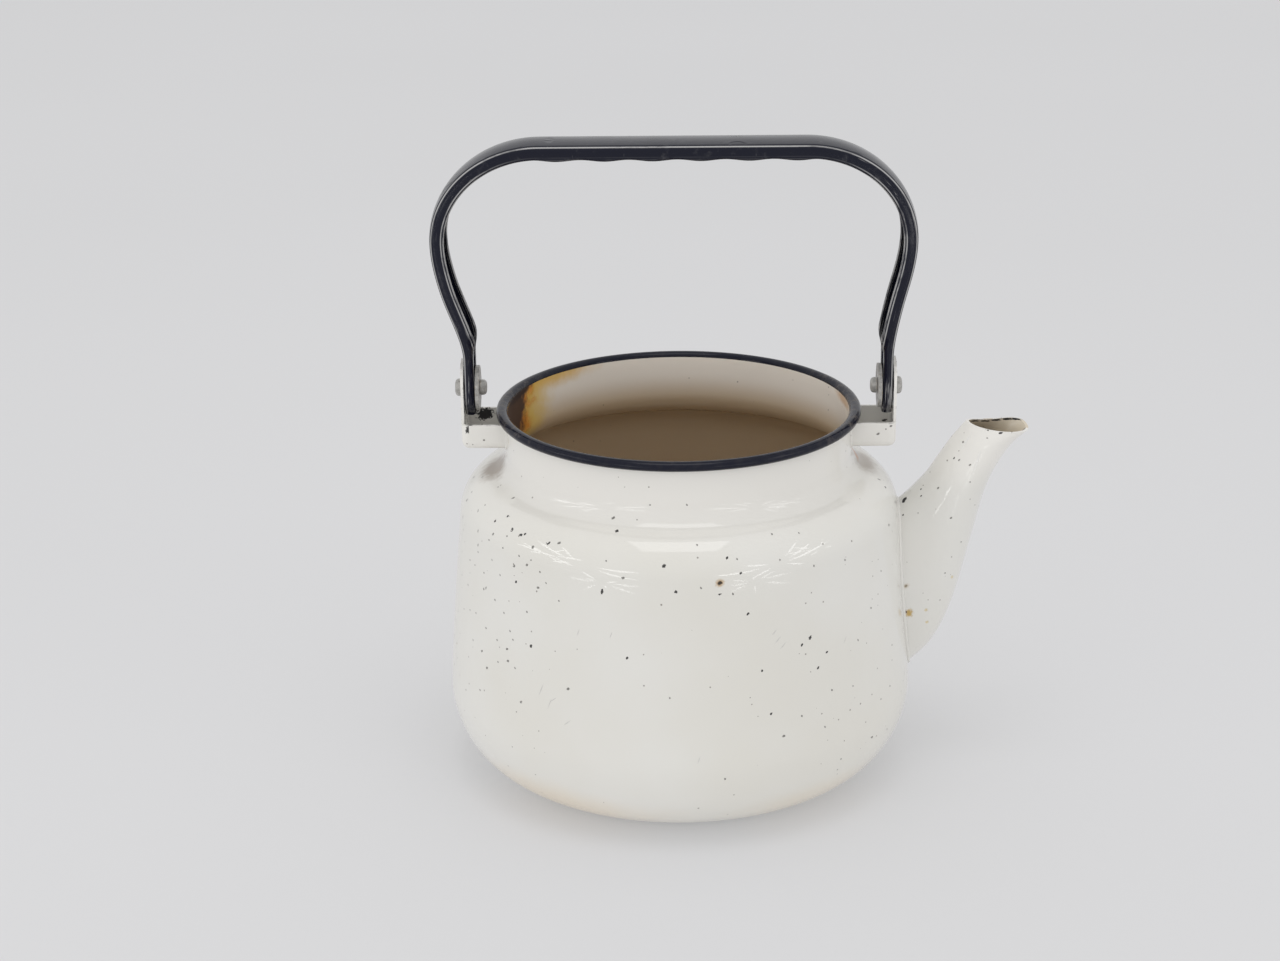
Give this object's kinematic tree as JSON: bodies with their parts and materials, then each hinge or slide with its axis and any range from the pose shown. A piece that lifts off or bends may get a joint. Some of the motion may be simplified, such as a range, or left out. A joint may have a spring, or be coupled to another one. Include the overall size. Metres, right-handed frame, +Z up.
{
  "type": "enamelled tea kettle",
  "caption": "Wide-necked enamelled stovetop kettle with a curved pressed spout and a channel-section bail handle that swings on riveted ears; open rim.",
  "frame": {"origin": "middle of the flat base, on the kettle's upright axis", "axes": "+X to the spout, +Y across the handle's swing, +Z up"},
  "size_m": [0.2417, 0.1926, 0.2643],
  "materials": {
    "cream_enamel": "glossy vitreous enamel, lightly chipped",
    "black_enamel": "glossy vitreous enamel, worn grey on its bends",
    "bare_steel": "dull bare steel"
  },
  "bodies": {
    "kettle": {"body_shell": "cream_enamel", "spout_near_half": "cream_enamel", "spout_far_half": "cream_enamel", "ear_rear": "cream_enamel", "ear_front": "cream_enamel", "washer_rear": "bare_steel", "washer_front": "bare_steel", "rivet_rear": "bare_steel", "rivet_front": "bare_steel"},
    "handle": {"bail_handle": "black_enamel"}
  },
  "joints": [
    {"name": "handle_swing", "type": "hinge", "parent": "kettle", "child": "handle", "pos_m": [0, 0, 0.162], "axis": [1, 0, 0], "range_deg": [-97, 97]}
  ]
}
